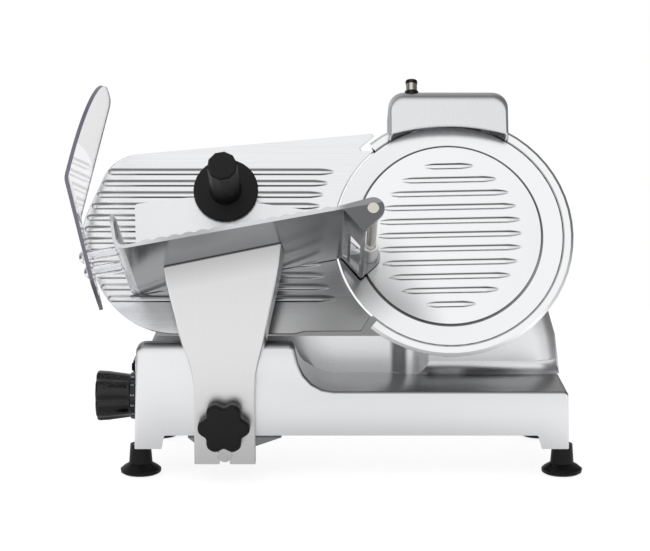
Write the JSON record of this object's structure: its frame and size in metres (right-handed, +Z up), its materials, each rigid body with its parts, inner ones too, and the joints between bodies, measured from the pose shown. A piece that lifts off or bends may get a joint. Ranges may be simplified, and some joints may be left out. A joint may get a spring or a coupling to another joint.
{
  "type": "meat slicer",
  "caption": "Electric meat slicer: leaning round blade in a guard ring, ribbed gauge plate, sliding tray with pusher and clear hand guard, sharpener on top.",
  "frame": {"origin": "middle of the slicer's outline on the floor under its rubber feet", "axes": "+X along the carriage's travel, from the thickness knob to the blade; +Y to the back; +Z up"},
  "size_m": [0.5474, 0.3797, 0.4198],
  "materials": {
    "cast_aluminium": "satin anodised casting",
    "polished_aluminium": "polished",
    "satin_aluminium": "satin",
    "bright_steel": "bright turned",
    "blade_steel": "ground and polished",
    "black_plastic": "glossy black",
    "matte_black_plastic": "matte black",
    "black_rubber": "matte black",
    "clear_acrylic": "clear acrylic sheet",
    "grey_stone": "bonded abrasive grit",
    "grey_enamel": "grey enamel"
  },
  "bodies": {
    "base": {"base_casting": "cast_aluminium", "bottom_plate": "bright_steel", "foot_front_left": "black_rubber", "foot_front_right": "black_rubber", "foot_rear_left": "black_rubber", "foot_rear_right": "black_rubber", "foot_bolt_front_left": "bright_steel", "foot_bolt_front_right": "bright_steel", "foot_bolt_rear_left": "bright_steel", "foot_bolt_rear_right": "bright_steel", "motor_housing": "cast_aluminium", "drive_motor": "grey_enamel", "drive_belt": "black_rubber", "spindle_bearing_front": "bright_steel", "spindle_bearing_rear": "bright_steel", "blade_cover": "polished_aluminium", "ring_guard": "polished_aluminium", "slice_deflector": "bright_steel", "sharpener_cover": "cast_aluminium", "grinding_stone_shaft": "bright_steel", "plunger_grommet": "black_plastic", "plunger_spring": "bright_steel", "gauge_slide_rod": "bright_steel", "switch_plate": "cast_aluminium", "switch_body": "black_plastic", "cord_gland": "black_plastic", "motor_capacitor": "grey_enamel", "carriage_rod": "bright_steel", "guide_bar": "bright_steel"},
    "blade": {"blade": "blade_steel", "blade_pulley": "satin_aluminium", "spindle": "bright_steel"},
    "motor_rotor": {"motor_pinion": "bright_steel"},
    "cover_tie": {"cover_tie_rod": "bright_steel", "tie_rod_knob": "black_plastic"},
    "grinding_wheel": {"grinding_stone": "grey_stone"},
    "sharpener_push_rod": {"sharpener_plunger": "bright_steel", "sharpener_button": "black_plastic"},
    "deburring_wheel": {"deburring_stone": "grey_stone"},
    "thickness_dial": {"thickness_knob": "black_plastic", "thickness_cam": "bright_steel"},
    "gauge": {"gauge_plate": "polished_aluminium", "gauge_bracket": "satin_aluminium"},
    "switch_on": {"on_button": "black_plastic"},
    "switch_off": {"off_button": "black_plastic"},
    "carriage": {"slide_block": "satin_aluminium", "carriage_arm": "satin_aluminium", "locating_pin": "bright_steel", "tray": "satin_aluminium", "hand_guard": "clear_acrylic", "guard_post_near": "clear_acrylic", "guard_post_far": "clear_acrylic", "guard_screw_near": "bright_steel", "guard_screw_far": "bright_steel"},
    "roller": {"guide_roller": "matte_black_plastic"},
    "arm_knob": {"star_knob": "black_plastic", "star_knob_stud": "bright_steel"},
    "pusher_shaft": {"pusher_rod": "bright_steel"},
    "pusher": {"pusher_arm": "satin_aluminium", "pusher_knob": "matte_black_plastic"}
  },
  "joints": [
    {"name": "blade_spin", "type": "hinge", "parent": "base", "child": "blade", "pos_m": [0.133, 0.0265, 0.252], "axis": [0, -0.9135, 0.4067], "continuous": true},
    {"name": "motor_spin", "type": "hinge", "parent": "base", "child": "motor_rotor", "pos_m": [0.133, -0.01214, 0.16521], "axis": [0, -0.9135, 0.4067], "continuous": true},
    {"name": "cover_tie_turn", "type": "hinge", "parent": "base", "child": "cover_tie", "pos_m": [0.133, 0.11786, 0.21133], "axis": [0, -0.9135, 0.4067], "range_deg": [0, 720]},
    {"name": "grinding_stone_spin", "type": "hinge", "parent": "base", "child": "grinding_wheel", "pos_m": [0.155, 0.09161, 0.3675], "axis": [0, -0.9135, 0.4067], "continuous": true},
    {"name": "sharpener_push", "type": "slide", "parent": "base", "child": "sharpener_push_rod", "axis": [0, -0.4067, -0.9135], "range_m": [0, 0.005], "stiffness_N_per_m": 400, "springref_m": -0.003},
    {"name": "deburring_stone_spin", "type": "hinge", "parent": "sharpener_push_rod", "child": "deburring_wheel", "pos_m": [0.0925, 0.07925, 0.37957], "axis": [0, -0.9135, 0.4067], "continuous": true},
    {"name": "thickness_turn", "type": "hinge", "parent": "base", "child": "thickness_dial", "pos_m": [-0.2085, -0.0015, 0.0772], "axis": [1, 0, 0], "range_deg": [0, 300]},
    {"name": "gauge_slide", "type": "slide", "parent": "base", "child": "gauge", "axis": [0, 0.9135, -0.4067], "range_m": [0, 0.012]},
    {"name": "on_button_press", "type": "slide", "parent": "base", "child": "switch_on", "axis": [1, 0, 0], "range_m": [0, 0.003], "stiffness_N_per_m": 300, "springref_m": -0.002},
    {"name": "off_button_press", "type": "slide", "parent": "base", "child": "switch_off", "axis": [1, 0, 0], "range_m": [0, 0.003], "stiffness_N_per_m": 300, "springref_m": -0.002},
    {"name": "carriage_slide", "type": "slide", "parent": "base", "child": "carriage", "axis": [1, 0, 0], "range_m": [0, 0.25]},
    {"name": "guide_roller_spin", "type": "hinge", "parent": "carriage", "child": "roller", "pos_m": [-0.1105, -0.0225, 0.0527], "axis": [0, 1, 0], "continuous": true},
    {"name": "star_knob_turn", "type": "hinge", "parent": "carriage", "child": "arm_knob", "pos_m": [-0.1105, -0.0875, 0.065], "axis": [0, -1, 0], "range_deg": [0, 720]},
    {"name": "pusher_swing", "type": "hinge", "parent": "carriage", "child": "pusher_shaft", "pos_m": [0.045, -0.07563, 0.26847], "axis": [0, 0.9135, -0.4067], "range_deg": [0, 100]},
    {"name": "pusher_slide", "type": "slide", "parent": "pusher_shaft", "child": "pusher", "axis": [0, -0.9135, 0.4067], "range_m": [0, 0.128]}
  ],
  "couplings": [
    {"joint": "motor_spin", "follows": "blade_spin", "ratio": 5},
    {"joint": "thickness_turn", "follows": "gauge_slide", "rad_per_m": 436.33},
    {"joint": "guide_roller_spin", "follows": "carriage_slide", "rad_per_m": -200}
  ]
}
